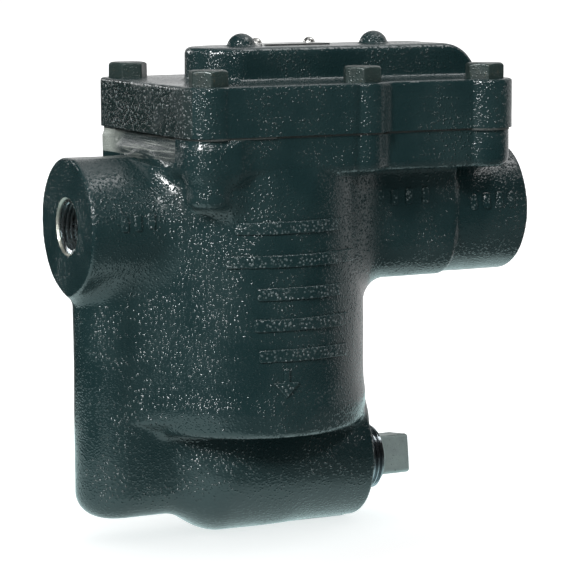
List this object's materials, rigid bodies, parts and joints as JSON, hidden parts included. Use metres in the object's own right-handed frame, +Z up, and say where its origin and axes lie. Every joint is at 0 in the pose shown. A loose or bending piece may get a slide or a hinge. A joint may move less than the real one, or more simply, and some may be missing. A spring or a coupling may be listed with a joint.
{
  "type": "steam trap",
  "caption": "Cast-iron inverted bucket steam trap with side ports, a strainer leg with a plug, and a bolted cap over the bucket, lever and valve.",
  "frame": {"origin": "centre of the inlet port, at its face", "axes": "+X along the flow from inlet to outlet, +Y towards the back, +Z up"},
  "size_m": [0.191, 0.0974, 0.1967],
  "materials": {
    "cast_body": "gloss black paint over a sand-cast surface",
    "cast_cap": "gloss black paint over a sand-cast surface",
    "gasket_sheet": "compressed graphite and fibre sheet",
    "bolt_steel": "dark oiled steel",
    "plate_metal": "satin, blank",
    "screw_metal": "bright steel",
    "plug_steel": "machined steel, lightly oiled",
    "screen_steel": "perforated stainless sheet",
    "tube_steel": "drawn steel tube",
    "valve_steel": "ground stainless steel",
    "copper_ring": "soft copper",
    "lever_steel": "stainless sheet and wire",
    "bucket_steel": "deep-drawn stainless sheet",
    "cast_weight": "plain cast ring"
  },
  "bodies": {
    "trap": {"body": "cast_body", "cap": "cast_cap", "cap_gasket": "gasket_sheet", "cap_bolts": "bolt_steel", "nameplate": "plate_metal", "nameplate_screws": "screw_metal", "strainer_plug": "plug_steel", "strainer_screen": "screen_steel", "inlet_tube": "tube_steel", "valve_seat": "valve_steel", "seat_gasket": "copper_ring", "lever_bracket": "lever_steel", "bracket_screws": "screw_metal", "fulcrum_pin": "valve_steel", "pin_retainer": "lever_steel"},
    "lever": {"lever_arm": "lever_steel", "valve_head": "valve_steel"},
    "bucket": {"bucket": "bucket_steel", "bucket_clip": "lever_steel", "clip_rivets": "screw_metal", "bucket_bail": "lever_steel", "bucket_weight": "cast_weight"}
  },
  "joints": [
    {"name": "bucket_lift", "type": "slide", "parent": "trap", "child": "bucket", "axis": [0, 0, 1], "range_m": [0, 0.00344]},
    {"name": "lever_swing", "type": "hinge", "parent": "trap", "child": "lever", "pos_m": [0.0555, 0, 0.0225], "axis": [0, -1, 0], "range_deg": [0, 10]}
  ],
  "couplings": [
    {"joint": "lever_swing", "follows": "bucket_lift", "rad_per_m": 50.694}
  ]
}
